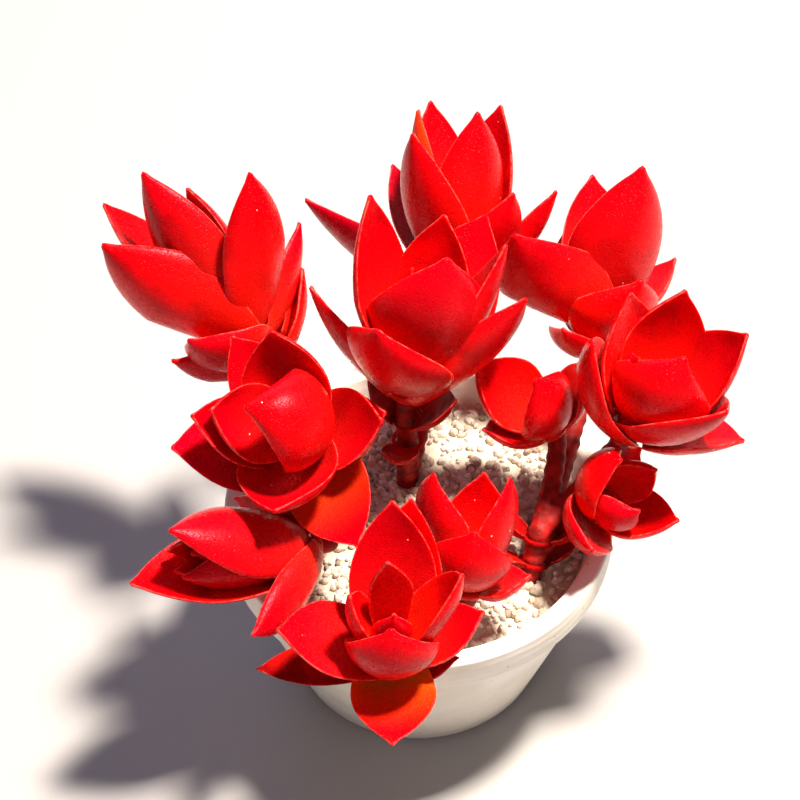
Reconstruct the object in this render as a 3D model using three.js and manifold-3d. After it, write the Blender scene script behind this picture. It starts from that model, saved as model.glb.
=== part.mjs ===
// A potted campfire crassula: a low round pot of pale grit in which three stems are rooted.
// Each stem branches into shoots, and each shoot ends in a rosette of fleshy red leaves that
// grow in opposite pairs, every pair turned a quarter round from the one below it.
// Millimetres, +Z up, origin at the centre of the flat underside of the pot. +Y is the back.
import * as THREE from 'three';
import { mergeVertices } from 'three/addons/utils/BufferGeometryUtils.js';
import Module from 'manifold-3d';

const wasm = await Module();
wasm.setup();

const GAP = 0.3; // clear space between one piece and the next
// Facets smaller than the first of these are merged, or a smaller one where that would make two
// pieces share more than SHARED cubic millimetres.
const FINENESS = [0.08, 0.04, 0.02, 0.01];
const SHARED = 0.004;
const BITE = 0.25; // the size of a bite taken where a piece touches itself
const QUARTER = Math.PI / 2;

// The pot: a plain round tub with a rim band and three drain holes clear of its centre.
const POT = {
  height: 52,
  rimRadius: 45,
  rimBand: 9,
  rimOverhang: 2,
  baseRadius: 30,
  wall: 4,
  floor: 5,
  chamfer: 1,
  sides: 32,
};
const DRAIN = { radius: 3.5, fromCentre: 16, count: 3, sides: 14 };

// The grit that fills it, a little domed, with its edge below the rim.
const GRIT = { belowRim: 7, dome: 2.5, domeRings: 3 };

// The woody stems. A shoot is the last stretch of a stem, where the leaves clasp it.
const STEM = {
  root: 3.3, // radii
  fork: 2.6,
  shoot: 2.2,
  thinnest: 0.67, // the share of its length after which a stem tapers no more
  belowFoot: 3.5, // how far a shoot is straight below its lowest pair
  aboveTop: 0.8,
  sides: 7,
  lengthwise: 7,
};

// Leaves. Shares along a leaf run from 0 at the stem to 1 at the tip.
const LEAF = {
  around: 8, // facets round a section
  along: 6, // facets from base to tip
  closing: 1.25, // over 1 draws the sections closer together towards the tip
  thickness: 3.3, // the most through the middle
  back: 0.64, // the share of the thickness on the outer face
  lens: 1.3, // over 1 thins the section towards its margins
  baseWidth: 0.82, // the width where it clasps the stem as a share of the most
  fullest: 0.38, // how far along it is widest
  taper: 2.05, // how long it stays wide past there
  point: 0.88, // how blunt it ends
  leastWidth: 0.02,
  baseDepth: 0.6, // the thickness at the base as a share of the most
  deepest: 0.8, // under 1 moves the thickest place towards the base
  tipThinning: 0.3,
  flattening: 0.3, // how much of its trough is lost by the tip
  rollOver: 0.5, // a twist is complete this far along
};
// The ring in which the two leaves of a pair are one. A blade starts out from inside it.
const SHEATH = { below: 0.7, above: 1, inner: 2.95, outer: 4.5, blade: 3.5, sides: 6 };
const PAIR_STEP = 3; // from one pair to the next up a shoot

// One leaf: open is its angle from the shoot's axis where it leaves the stem, curl is how far it
// turns back towards the axis by its tip and cup is the half angle of its trough, in degrees.
// Where a leaf stands a little aside, swing turns it round the shoot and roll twists its blade.
const leaf = (open, curl, length, width, cup, { swing = 0, roll = 0 } = {}) => ({
  open, curl, length, width, cup, swing, roll,
});

// One pair: the turn of its first leaf round the shoot, then the two leaves, half a turn apart.
// Turn 0 points right, 90 to the back, 180 left and 270 to the front.
const pair = (turn, first, second, finish = 'leaf') => ({ turn, leaves: [first, second], finish });

// The rosettes. foot is the place of the lowest pair on its stem. The shoot leans from upright
// by lean degrees towards the compass angle toward, and its pairs run from the outside inwards.
const ROSETTES = [
  {
    name: 'front',
    foot: [-6, -47.7, 57],
    lean: 5,
    toward: 270,
    pairs: [
      pair(178, leaf(92, -12, 26, 12, 40), leaf(80, 20, 11, 10, 45), 'oldLeaf'),
      pair(270, leaf(88, 15, 19, 19, 35), leaf(46, 22, 34, 20, 40, { swing: -10 })),
      pair(187, leaf(70, 28, 25, 20, 35), leaf(67, 30, 20, 15, 40)),
      pair(268, leaf(66, 105, 23, 24, 70), leaf(45, 30, 31, 20, 45, { swing: 2 })),
      pair(5, leaf(45, 40, 26, 16, 60, { roll: 15 }), leaf(34, 35, 19, 13, 55)),
      pair(275, leaf(22, 40, 13, 10, 60), leaf(16, 30, 21, 11, 60, { swing: 10 })),
    ],
  },
  {
    name: 'fore',
    foot: [10.6, -29, 60],
    lean: 20,
    toward: 73,
    pairs: [
      pair(350, leaf(74, 30, 11, 13, 40), leaf(70, 30, 12, 12, 40)),
      pair(262, leaf(55, 75, 19, 22, 65), leaf(35, 40, 22, 17, 55)),
      pair(5, leaf(26, 40, 23, 17, 60, { roll: 30 }), leaf(45, 55, 25, 19, 65, { roll: -30 })),
    ],
  },
  {
    name: 'low_left',
    foot: [-24, -19, 62],
    lean: 75,
    toward: 201,
    pairs: [
      pair(291, leaf(55, 30, 29, 14, 45, { roll: -30 }), leaf(60, 30, 18, 14, 45)),
      pair(21, leaf(26, 25, 34, 22, 60), leaf(16, 28, 39, 23, 50)),
      pair(291, leaf(16, 30, 26, 16, 60), leaf(16, 30, 27, 16, 60)),
      pair(21, leaf(10, 25, 20, 12, 60), leaf(10, 25, 23, 12, 60)),
    ],
  },
  {
    name: 'mid_left',
    foot: [-25, 2, 72],
    lean: 30,
    toward: 240,
    pairs: [
      pair(185, leaf(62, 30, 30, 22, 40), leaf(66, 25, 22, 18, 40)),
      pair(297, leaf(80, 25, 29, 20, 35), leaf(65, 25, 26, 18, 40)),
      pair(175, leaf(45, 35, 29, 18, 50), leaf(70, 35, 24, 20, 45)),
      pair(88, leaf(62, 45, 25, 23, 60), leaf(70, 55, 26, 26, 60)),
      pair(350, leaf(60, 150, 34, 28, 75), leaf(50, 50, 22, 20, 60)),
    ],
  },
  {
    name: 'top_left',
    foot: [-34.8, 28.3, 70],
    lean: 42,
    toward: 136,
    pairs: [
      pair(210, leaf(66, 30, 20, 16, 45, { roll: -30 }), leaf(60, 30, 20, 12, 45)),
      pair(245, leaf(75, 55, 21, 26, 65), leaf(60, 40, 24, 18, 50)),
      pair(210, leaf(35, 25, 41, 28, 60, { roll: -45 }), leaf(62, 30, 26, 15, 50, { roll: 30 })),
      pair(340, leaf(42, 25, 39, 20, 60, { roll: 25 }), leaf(33, 25, 43, 20, 50)),
      pair(235, leaf(10, 20, 41, 23, 60, { roll: -10 }), leaf(15, 25, 32, 18, 60)),
    ],
  },
  {
    name: 'back',
    foot: [8.4, 44.8, 76],
    lean: 28,
    toward: 84,
    pairs: [
      pair(175, leaf(73, 30, 38, 21, 40, { roll: -35 }), leaf(50, 30, 32, 15, 45, { roll: 30 })),
      pair(305, leaf(48, 35, 31, 19, 50), leaf(64, 30, 31, 17, 45)),
      pair(225, leaf(36, 30, 38, 21, 55), leaf(28, 30, 38, 21, 50)),
      pair(298, leaf(18, 30, 36, 21, 60), leaf(36, 30, 35, 19, 55)),
      pair(175, leaf(28, 30, 32, 16, 55, { roll: -20 }), leaf(16, 25, 20, 12, 55)),
    ],
  },
  {
    name: 'centre',
    foot: [-2.6, 11.6, 79],
    lean: 19,
    toward: 64,
    pairs: [
      pair(345, leaf(46, 30, 36, 22, 50, { roll: 35 }), leaf(62, 30, 30, 16, 45, { roll: -30 })),
      pair(238, leaf(62, 50, 29, 30, 60), leaf(48, 30, 39, 28, 55)),
      pair(350, leaf(36, 35, 38, 22, 55), leaf(31, 30, 43, 22, 45, { roll: 25 })),
      pair(280, leaf(42, 55, 35, 32, 70), leaf(28, 38, 33, 21, 60, { swing: -25 })),
      pair(10, leaf(16, 30, 20, 11, 60), leaf(16, 30, 20, 11, 60)),
    ],
  },
  {
    name: 'top_right',
    foot: [40.7, 34.3, 68],
    lean: 33,
    toward: 75,
    pairs: [
      pair(235, leaf(80, 40, 15, 16, 45), leaf(60, 30, 24, 16, 45)),
      pair(295, leaf(60, 55, 22, 27, 65), leaf(50, 30, 26, 18, 50)),
      pair(213, leaf(66, 35, 34, 28, 60, { roll: -45 }), leaf(67, 35, 23, 14, 50)),
      pair(285, leaf(23, 25, 38, 26, 65), leaf(38, 25, 31, 20, 50)),
    ],
  },
  {
    name: 'right',
    foot: [48, 6, 74],
    lean: 19,
    toward: 348,
    pairs: [
      pair(345, leaf(77, 30, 22, 20, 45, { roll: 20 }), leaf(62, 60, 33, 25, 60, { swing: 20 })),
      pair(305, leaf(47, 40, 29, 27, 60), leaf(50, 35, 28, 20, 50)),
      pair(15, leaf(38, 40, 31, 22, 60), leaf(40, 45, 22, 16, 60)),
      pair(250, leaf(58, 105, 28, 28, 70), leaf(40, 40, 27, 22, 55, { swing: 25 })),
    ],
  },
  {
    name: 'small',
    foot: [30, 11, 68],
    lean: 27,
    toward: 185,
    pairs: [
      pair(200, leaf(60, 40, 14, 13, 50), leaf(60, 40, 16, 14, 50)),
      pair(150, leaf(48, 65, 21, 20, 70), leaf(52, 75, 22, 20, 70, { swing: -10 })),
    ],
  },
  {
    name: 'low_right',
    foot: [38, -6, 60],
    lean: 46,
    toward: 333,
    pairs: [
      pair(245, leaf(74, 50, 17, 18, 60), leaf(80, 50, 15, 16, 55)),
      pair(340, leaf(50, 50, 18, 16, 60), leaf(60, 75, 20, 20, 70)),
      pair(250, leaf(45, 70, 14, 13, 65), leaf(45, 70, 14, 13, 65)),
    ],
  },
];

// Leaves left on the bare stems below the rosettes, given in the same way.
const STEM_LEAVES = [
  {
    name: 'centre_stem',
    foot: [-2.6, 11.6, 62],
    lean: 0,
    toward: 0,
    step: 8,
    pairs: [
      pair(255, leaf(70, 30, 10, 9, 45), leaf(60, 30, 9, 8, 45), 'oldLeaf'),
      pair(340, leaf(50, 25, 13, 13, 50), leaf(45, 30, 12, 12, 50), 'oldLeaf'),
    ],
  },
  {
    name: 'right_stem',
    foot: [26.1, -14, 49.2],
    lean: 28,
    toward: 70,
    step: 6,
    pairs: [
      pair(205, leaf(75, 20, 9, 7, 45), leaf(70, 20, 8, 6, 45), 'oldLeaf'),
      pair(170, leaf(62, 30, 11, 8, 50), leaf(60, 30, 9, 8, 50), 'oldLeaf'),
    ],
  },
];

// The stems. A trunk runs up through its points from its root deep in the grit. Each branch
// leaves the trunk at its first point and ends as the shoot of the rosette it is named for.
const STEMS = [
  {
    name: 'stem_left',
    trunk: [[-23, 4.5, 26], [-23.5, 4, 46], [-23.8, 3.6, 58]],
    branches: [
      { to: 'mid_left', through: [[-23.8, 3.7, 55]] },
      { to: 'top_left', through: [[-23.6, 4, 50], [-28, 15, 58]] },
      { to: 'low_left', through: [[-23.5, 4, 48], [-21.5, -6, 55]] },
    ],
  },
  {
    name: 'stem_centre',
    trunk: [[-2, 11, 26], [-2.6, 11.6, 46], [-2.6, 11.6, 60]],
    branches: [
      { to: 'centre', through: [[-2.6, 11.6, 58]] },
      { to: 'back', through: [[-2.6, 11.6, 49], [2, 26, 60]] },
    ],
  },
  {
    name: 'stem_right',
    trunk: [[24.5, -17, 26], [25.4, -15.6, 46], [27.4, -10, 57]],
    branches: [
      { to: 'small', through: [[27.2, -10.8, 55.5], [30.5, 1, 60.5]] },
      { to: 'low_right', through: [[26.5, -13.2, 51]] },
      { to: 'right', through: [[27.2, -10.6, 56], [38, -0.5, 61]] },
      { to: 'top_right', through: [[26.8, -11.8, 54], [35, 14, 57]] },
    ],
  },
  {
    name: 'stem_front',
    trunk: [[0.5, -21, 26], [0, -23, 46], [-0.5, -25, 51]],
    branches: [
      { to: 'front', through: [[-0.4, -24.6, 49.5], [-4, -37.5, 57]] },
      { to: 'fore', through: [[-0.2, -24, 48.5], [4.5, -27.5, 51]] },
    ],
  },
];

const radians = THREE.MathUtils.degToRad;
const WHERE = new Map([...ROSETTES, ...STEM_LEAVES].map((entry) => [entry.name, entry]));

// The direction a shoot leans in.
function shootAxis({ lean, toward }) {
  const [tilt, compass] = [radians(lean), radians(toward)];
  return new THREE.Vector3(
    Math.sin(tilt) * Math.cos(compass),
    Math.sin(tilt) * Math.sin(compass),
    Math.cos(tilt),
  );
}

// Turns and moves a geometry made about the origin, with +Z up the shoot, to its place.
function placeOnShoot(geometry, entry) {
  const upright = new THREE.Vector3(0, 0, 1);
  const turn = new THREE.Quaternion().setFromUnitVectors(upright, shootAxis(entry));
  return geometry.applyQuaternion(turn).translate(...entry.foot);
}

// The leaf's outline: its half width along it as a share of the widest, from a clasping base to
// a short point.
function outline(s) {
  const { baseWidth, fullest, taper, point, leastWidth } = LEAF;
  const swell = Math.sin(QUARTER * Math.min(1, s / fullest));
  const base = baseWidth + (1 - baseWidth) * swell;
  const past = Math.max(0, (s - fullest) / (1 - fullest));
  return base * Math.pow(1 - Math.pow(past, taper), point) + leastWidth;
}

// Thickness along the leaf as a share of the most: less where it clasps the stem and at its tip.
function plumpness(s) {
  const { baseDepth, deepest, tipThinning } = LEAF;
  return baseDepth + (1 - baseDepth) * Math.sin(Math.PI * Math.pow(s, deepest)) - tipThinning * s * s;
}

// A leaf as a closed surface: a ball whose poles are the leaf's base and tip, pressed flat,
// drawn out to the outline, bent into a trough, curled along its length and twisted. grow
// thickens it all round.
function leafGeometry({ open, curl, length, width, cup, roll }, turn, height, grow = 0) {
  const rings = LEAF.along;
  const geometry = new THREE.SphereGeometry(1, LEAF.around, rings);
  const place = geometry.getAttribute('position');
  const [openAt, curlBy, cupAt, rollBy] = [open, curl, cup, roll].map(radians);
  const long = length + grow;
  const outward = new THREE.Vector3(Math.cos(turn), Math.sin(turn), 0);
  const side = new THREE.Vector3(-Math.sin(turn), Math.cos(turn), 0);
  const up = new THREE.Vector3(0, 0, 1);
  const point = new THREE.Vector3();
  for (let i = 0; i < place.count; i++) {
    point.fromBufferAttribute(place, i);
    const ring = (Math.acos(THREE.MathUtils.clamp(point.y, -1, 1)) / Math.PI) * rings;
    const s = 1 - Math.pow(Math.min(1, ring / (rings - 1)), LEAF.closing);
    const radial = Math.hypot(point.x, point.z);
    const onRing = radial > 1e-3 ? 1 / radial : 0;
    const across = point.x * onRing;
    const face = point.z * onRing;

    const angle = openAt - curlBy * s;
    const run = (long * (Math.cos(angle) - Math.cos(openAt))) / curlBy;
    const rise = (long * (Math.sin(openAt) - Math.sin(angle))) / curlBy;
    const inward = outward.clone().multiplyScalar(-Math.cos(angle)).addScaledVector(up, Math.sin(angle));
    const rolled = rollBy * Math.min(1, s / LEAF.rollOver);
    const edge = side.clone().multiplyScalar(Math.cos(rolled)).addScaledVector(inward, -Math.sin(rolled));
    inward.multiplyScalar(Math.cos(rolled)).addScaledVector(side, Math.sin(rolled));

    const trough = cupAt * (1 - LEAF.flattening * s);
    const half = (width / 2) * outline(s) + grow;
    const bend = half / trough;
    const turned = trough * across;
    const depth = LEAF.thickness * plumpness(s);
    const through = (face > 0 ? LEAF.back : 1 - LEAF.back) * depth + grow;
    const offset = -Math.sign(face) * through * Math.pow(Math.abs(face), LEAF.lens);

    point.set(0, 0, height);
    point.addScaledVector(outward, run + SHEATH.blade);
    point.addScaledVector(up, rise);
    point.addScaledVector(edge, (bend - offset) * Math.sin(turned));
    point.addScaledVector(inward, bend - (bend - offset) * Math.cos(turned));
    place.setXYZ(i, point.x, point.y, point.z);
  }
  return geometry;
}

// The ring round the stem in which the two leaves of a pair are one.
function sheathGeometry(height, grow) {
  const [low, high] = [height - SHEATH.below - grow, height + SHEATH.above + grow];
  const [near, far] = [SHEATH.inner - grow, SHEATH.outer + grow];
  const profile = [
    new THREE.Vector2(near, low),
    new THREE.Vector2(far, low),
    new THREE.Vector2(far, high),
    new THREE.Vector2(near, high),
    new THREE.Vector2(near, low),
  ];
  return new THREE.LatheGeometry(profile, SHEATH.sides).rotateX(QUARTER);
}

// A bent, tapering rod with closed ends: a cylinder whose rings are moved along a curve.
function rodGeometry(points, radii, grow = 0) {
  const rings = STEM.lengthwise;
  const curve = new THREE.CatmullRomCurve3(points.map((at) => new THREE.Vector3(...at)));
  const frames = curve.computeFrenetFrames(rings);
  const geometry = new THREE.CylinderGeometry(1, 1, 1, STEM.sides, rings);
  const place = geometry.getAttribute('position');
  for (let i = 0; i < place.count; i++) {
    const [x, y, z] = [place.getX(i), place.getY(i), place.getZ(i)];
    const ring = Math.round((y + 0.5) * rings);
    const t = ring / rings;
    const radius = THREE.MathUtils.lerp(radii[0], radii[1], Math.min(1, t / STEM.thinnest)) + grow;
    const at = curve.getPointAt(t);
    at.addScaledVector(frames.normals[ring], z * radius);
    at.addScaledVector(frames.binormals[ring], x * radius);
    const ending = ring === 0 ? -grow : ring === rings ? grow : 0;
    at.addScaledVector(frames.tangents[ring], ending);
    place.setXYZ(i, at.x, at.y, at.z);
  }
  return geometry;
}

// The same geometry as a solid that can be joined and cut.
function solidOf(geometry) {
  const bare = new THREE.BufferGeometry();
  bare.setAttribute('position', geometry.getAttribute('position'));
  bare.setIndex(geometry.getIndex());
  const merged = mergeVertices(bare, 1e-4);
  const solid = new wasm.Manifold(
    new wasm.Mesh({
      numProp: 3,
      vertProperties: Float32Array.from(merged.getAttribute('position').array),
      triVerts: Uint32Array.from(merged.getIndex().array),
    }),
  );
  if (solid.volume() < 0) throw new Error('a piece is inside out');
  return solid;
}

const joined = (solids) => wasm.Manifold.union(solids);

// The largest body of a solid: a cut can leave crumbs beside it.
function mainBody(solid) {
  return solid.decompose().reduce((most, body) => (body.volume() > most.volume() ? body : most));
}

// The edges along which a solid touches itself, each as its two ends. A solid is only closed
// without them.
function pinchedEdges(solid) {
  const { numProp, vertProperties, triVerts } = solid.getMesh();
  const corners = Array.from(triVerts, (v) => {
    const first = v * numProp;
    return new THREE.Vector3().fromArray(vertProperties, first);
  });
  const nameOf = (corner) => corner.toArray().map((value) => value.toFixed(3)).join();
  const names = corners.map(nameOf);
  const seen = new Map();
  for (let i = 0; i < corners.length; i++) {
    const next = i - (i % 3) + ((i + 1) % 3);
    const edge = [names[i], names[next]].sort().join(' ');
    const found = seen.get(edge) ?? { count: 0, ends: [corners[i], corners[next]] };
    found.count += 1;
    seen.set(edge, found);
  }
  return [...seen.values()].filter(({ count }) => count > 2).map(({ ends }) => ends);
}

// The solid with a small bite taken out of it wherever it touches itself along an edge.
function unpinched(solid) {
  let result = solid;
  for (const [from, to] of pinchedEdges(solid)) {
    const middle = from.clone().lerp(to, 0.5);
    const bite = wasm.Manifold.sphere(from.distanceTo(to) / 2 + BITE, 8);
    result = result.subtract(bite.translate(middle.toArray()));
  }
  return mainBody(result);
}

// The solid with its smallest facets merged, as far as it stays clear of the pieces made so far.
const made = [];
function simplified(solid) {
  const simpler = FINENESS.map((size) => mainBody(solid.asOriginal().simplify(size)));
  const clear = simpler.find((one) => made.every((other) => one.intersect(other).volume() < SHARED));
  return unpinched(unpinched(clear ?? solid));
}

// The solid as a named mesh.
function meshOf(solid, name, { color, roughness }) {
  const final = simplified(solid);
  made.push(final);
  const { numProp, vertProperties, triVerts } = final.getMesh();
  const place = new Float32Array((vertProperties.length / numProp) * 3);
  for (let i = 0; i < place.length / 3; i++) {
    place.set(vertProperties.subarray(i * numProp, i * numProp + 3), i * 3);
  }
  const geometry = new THREE.BufferGeometry();
  geometry.setAttribute('position', new THREE.BufferAttribute(place, 3));
  geometry.setIndex(new THREE.BufferAttribute(triVerts, 1));
  geometry.computeVertexNormals();
  const material = new THREE.MeshStandardMaterial({ color, roughness, metalness: 0 });
  const mesh = new THREE.Mesh(geometry, material);
  mesh.name = name;
  return mesh;
}

const FINISH = {
  leaf: { color: 0xe01008, roughness: 0.45 },
  oldLeaf: { color: 0x8a1410, roughness: 0.6 },
  stem: { color: 0x7a1f14, roughness: 0.7 },
  grit: { color: 0xcfc6b4, roughness: 0.95 },
  pot: { color: 0xe9e5dc, roughness: 0.85 },
};

// A solid turned about the z axis from points given as [radius, height], bottom centre first.
function turnedSolid(points, sides) {
  const profile = points.map(([radius, z]) => new THREE.Vector2(radius, z));
  return solidOf(new THREE.LatheGeometry(profile, sides).rotateX(QUARTER));
}

function pot() {
  const { height, rimRadius, rimBand, rimOverhang, baseRadius, wall, floor, chamfer, sides } = POT;
  const underBand = height - rimBand;
  const bodyTop = rimRadius - rimOverhang;
  const shell = turnedSolid(
    [
      [0, 0],
      [baseRadius - chamfer, 0],
      [baseRadius, chamfer],
      [bodyTop, underBand - chamfer],
      [rimRadius, underBand],
      [rimRadius, height - chamfer],
      [rimRadius - chamfer, height],
      [rimRadius - wall + chamfer, height],
      [rimRadius - wall, height - chamfer],
      [baseRadius - wall + chamfer, floor],
      [0, floor],
    ],
    sides,
  );
  const holes = Array.from({ length: DRAIN.count }, (_, i) => {
    const turn = (i / DRAIN.count) * 2 * Math.PI + QUARTER;
    const hole = new THREE.CylinderGeometry(DRAIN.radius, DRAIN.radius, 4 * floor, DRAIN.sides);
    hole.rotateX(QUARTER);
    hole.translate(DRAIN.fromCentre * Math.cos(turn), DRAIN.fromCentre * Math.sin(turn), 0);
    return solidOf(hole);
  });
  return shell.subtract(joined(holes));
}

// The pot's inner radius at a height, from its floor to its rim.
function innerRadius(z) {
  const bottom = POT.baseRadius - POT.wall + POT.chamfer;
  const top = POT.rimRadius - POT.wall;
  const share = (z - POT.floor) / (POT.height - POT.chamfer - POT.floor);
  return THREE.MathUtils.lerp(bottom, top, share);
}

function grit(grownStems) {
  const bottom = POT.floor + GAP;
  const edge = POT.height - GRIT.belowRim;
  const points = [
    [0, bottom],
    [innerRadius(bottom) - GAP, bottom],
    [innerRadius(edge) - GAP, edge],
  ];
  for (let ring = 1; ring <= GRIT.domeRings; ring++) {
    const share = ring / GRIT.domeRings;
    const radius = (innerRadius(edge) - GAP) * (1 - share);
    points.push([radius, edge + GRIT.dome * Math.sin(share * QUARTER)]);
  }
  return turnedSolid(points, POT.sides).subtract(grownStems);
}

// One branch of a stem, from where it forks to the top of the shoot it ends as.
function branch({ to, through }, grow = 0) {
  const entry = WHERE.get(to);
  const axis = shootAxis(entry);
  const foot = new THREE.Vector3(...entry.foot);
  const below = foot.clone().addScaledVector(axis, -STEM.belowFoot);
  const reach = (entry.pairs.length - 1) * PAIR_STEP + STEM.aboveTop;
  const top = foot.clone().addScaledVector(axis, reach);
  const points = [...through, below.toArray(), foot.toArray(), top.toArray()];
  return solidOf(rodGeometry(points, [STEM.fork, STEM.shoot], grow));
}

const trunk = (points, grow = 0) => solidOf(rodGeometry(points, [STEM.root, STEM.fork], grow));

const plant = new THREE.Group();
plant.name = 'potted_campfire_crassula';
plant.add(meshOf(pot(), 'pot', FINISH.pot));
const grownRods = [];
for (const one of STEMS) {
  const solid = joined([trunk(one.trunk), ...one.branches.map((each) => branch(each))]);
  plant.add(meshOf(solid, one.name, FINISH.stem));
  grownRods.push(trunk(one.trunk, GAP), ...one.branches.map((each) => branch(each, GAP)));
}
plant.add(meshOf(grit(joined(grownRods)), 'potting_mix', FINISH.grit));

// The pairs, from the outermost of each rosette inwards. Where leaves touch, the later one is
// cut back to leave a gap.
const grownPairs = [];
for (const entry of [...ROSETTES, ...STEM_LEAVES]) {
  entry.pairs.forEach(({ turn, leaves, finish }, level) => {
    const height = level * (entry.step ?? PAIR_STEP);
    const pairSolid = (grow) => {
      const blades = leaves.map((one, half) =>
        leafGeometry(one, radians(turn + one.swing) + half * Math.PI, height, grow),
      );
      const parts = [...blades, sheathGeometry(height, grow)];
      return joined(parts.map((geometry) => solidOf(placeOnShoot(geometry, entry))));
    };
    const whole = pairSolid(0);
    let solid = whole;
    for (const cutter of [...grownRods, ...grownPairs]) solid = solid.subtract(cutter);
    solid = mainBody(solid);
    grownPairs.push(joined([whole, pairSolid(GAP)]));
    plant.add(meshOf(solid, `${entry.name}_pair_${level + 1}`, FINISH[finish]));
  });
}

export default plant;
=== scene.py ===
import math
import random

import bpy
import numpy as np
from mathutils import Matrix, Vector, noise


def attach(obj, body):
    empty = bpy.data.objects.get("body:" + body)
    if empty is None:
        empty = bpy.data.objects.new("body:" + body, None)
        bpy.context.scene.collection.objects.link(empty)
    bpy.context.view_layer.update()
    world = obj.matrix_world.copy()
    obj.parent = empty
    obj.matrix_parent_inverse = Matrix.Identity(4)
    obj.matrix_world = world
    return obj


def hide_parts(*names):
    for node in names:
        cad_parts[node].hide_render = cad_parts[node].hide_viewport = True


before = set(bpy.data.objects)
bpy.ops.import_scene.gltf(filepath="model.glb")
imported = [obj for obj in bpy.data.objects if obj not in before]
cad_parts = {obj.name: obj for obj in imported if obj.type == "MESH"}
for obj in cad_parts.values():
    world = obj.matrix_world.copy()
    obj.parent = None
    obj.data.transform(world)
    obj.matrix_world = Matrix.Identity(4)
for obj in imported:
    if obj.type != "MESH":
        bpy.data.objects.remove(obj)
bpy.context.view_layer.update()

# A potted campfire crassula: rosettes of fleshy red leaves on short branching stems, rooted in
# pale grit in a low round pot. Lengths here are in millimetres until MM turns them to metres.
MM = 0.001

# The leaves. Shares along a leaf run from 0 at the stem to 1 at the tip.
LEAF = {
    "sides": 40,
    "rings": 34,
    "closing": 1.4,  # over 1 draws the rings closer together towards the tip
    "thickness": 3.3,  # the most through the middle
    "old_thickness": 0.55,  # an old leaf's as a share of that
    "back": 0.64,  # the share of the thickness on the outer face
    "lens": 1.3,  # over 1 thins the section towards its margins
    "base_width": 0.82,  # the width where it clasps the stem as a share of the most
    "fullest": 0.38,  # how far along it is widest
    "taper": 2.05,  # how long it stays wide past there
    "point": 0.88,  # how blunt it ends
    "least_width": 0.02,
    "spine": 0.9,  # the length of the hard little point at the tip
    "spine_from": 0.955,
    "base_depth": 0.6,  # the thickness at the base as a share of the most
    "deepest": 0.8,  # under 1 moves the thickest place towards the base
    "tip_thinning": 0.3,
    "flattening": 0.3,  # how much of its trough is lost by the tip
    "roll_over": 0.5,  # a twist is complete this far along
    "keel": 0.07,  # a low ridge down the middle of the outer face
    "keel_width": 0.2,
    "wave": 0.3,  # how far the margins rise and fall
    "waves": 1.2,  # how many times from base to tip
    "bow": 0.5,  # how far a leaf bends aside
    "lump": 0.22,  # uneven swelling of the flesh
    "lump_size": 9,
    "wrinkle": 0.55,  # the same on an old leaf
    "wrinkle_size": 2.6,
    "pale_spread": 0.05,  # how much yellower one leaf's base may be than the next one's
}
# The collar in which the two leaves of a pair are one. A blade starts out from inside it.
SHEATH = {
    "radius": 3.7,
    "thick": 0.85,
    "tall": 1.15,
    "blade": 3.5,
    "sides": 24,
    "tube_sides": 10,
    "slight": 0.6,  # the thickness of a slight one as a share of the rest's
    "drawn_in": 0.4,  # how much less its radius is
    "off_margin": 3,  # it is painted as flesh this far inside a leaf's margin
    "pale": 0.1,
    "shade": 0.5,
}
PAIR_STEP = 3  # from one pair to the next up a shoot
STEM = {
    "root": 3.3,
    "fork": 2.6,
    "shoot": 2.2,
    "thinnest": 0.67,  # how far along a rod it stops tapering
    "below_foot": 3.5,  # a branch is straight from here below its lowest pair
    "above_top": 3,
    "growing_tip": 4.5,  # the length over which a shoot closes to a point
    "tip_end": 0.06,  # its radius at the very end, as a share
    "tip_fullness": 0.8,  # under 1 rounds the tip
    "scar_spacing": 3.1,
    "scar_depth": 0.07,
    "scar_sharpness": 0.5,
    "step": 0.7,
    "tube_sides": 4,  # Blender's count of extra edges in a quarter of the rod's round
    "voxel": 0.5,
    "lump": 0.16,
    "lump_size": 2.2,
    "lump_seed": 3,
    "young": 1.6,  # how strongly a shoot's top is coloured as young bark
    "young_fade": 6,  # the distance over which that falls by 1
}


def leaf(open_, curl, length, width, cup, swing=0, roll=0, pale=0.05, burnt=0, purple=0):
    """One leaf: its angle from the shoot at the stem, how far it turns back by the tip, its
    length and width, the half angle of its trough, how far it stands or twists aside, and how
    yellow its base, how orange its tip and how purple the whole is."""
    return {"open": open_, "curl": curl, "length": length, "width": width, "cup": cup,
            "swing": swing, "roll": roll, "pale": pale, "burnt": burnt, "purple": purple}


def pair(turn, first, second, old=False):
    """Two leaves half a turn apart round the shoot: 0 is to the right, 90 to the back."""
    return {"turn": turn, "leaves": (first, second), "old": old}


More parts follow.
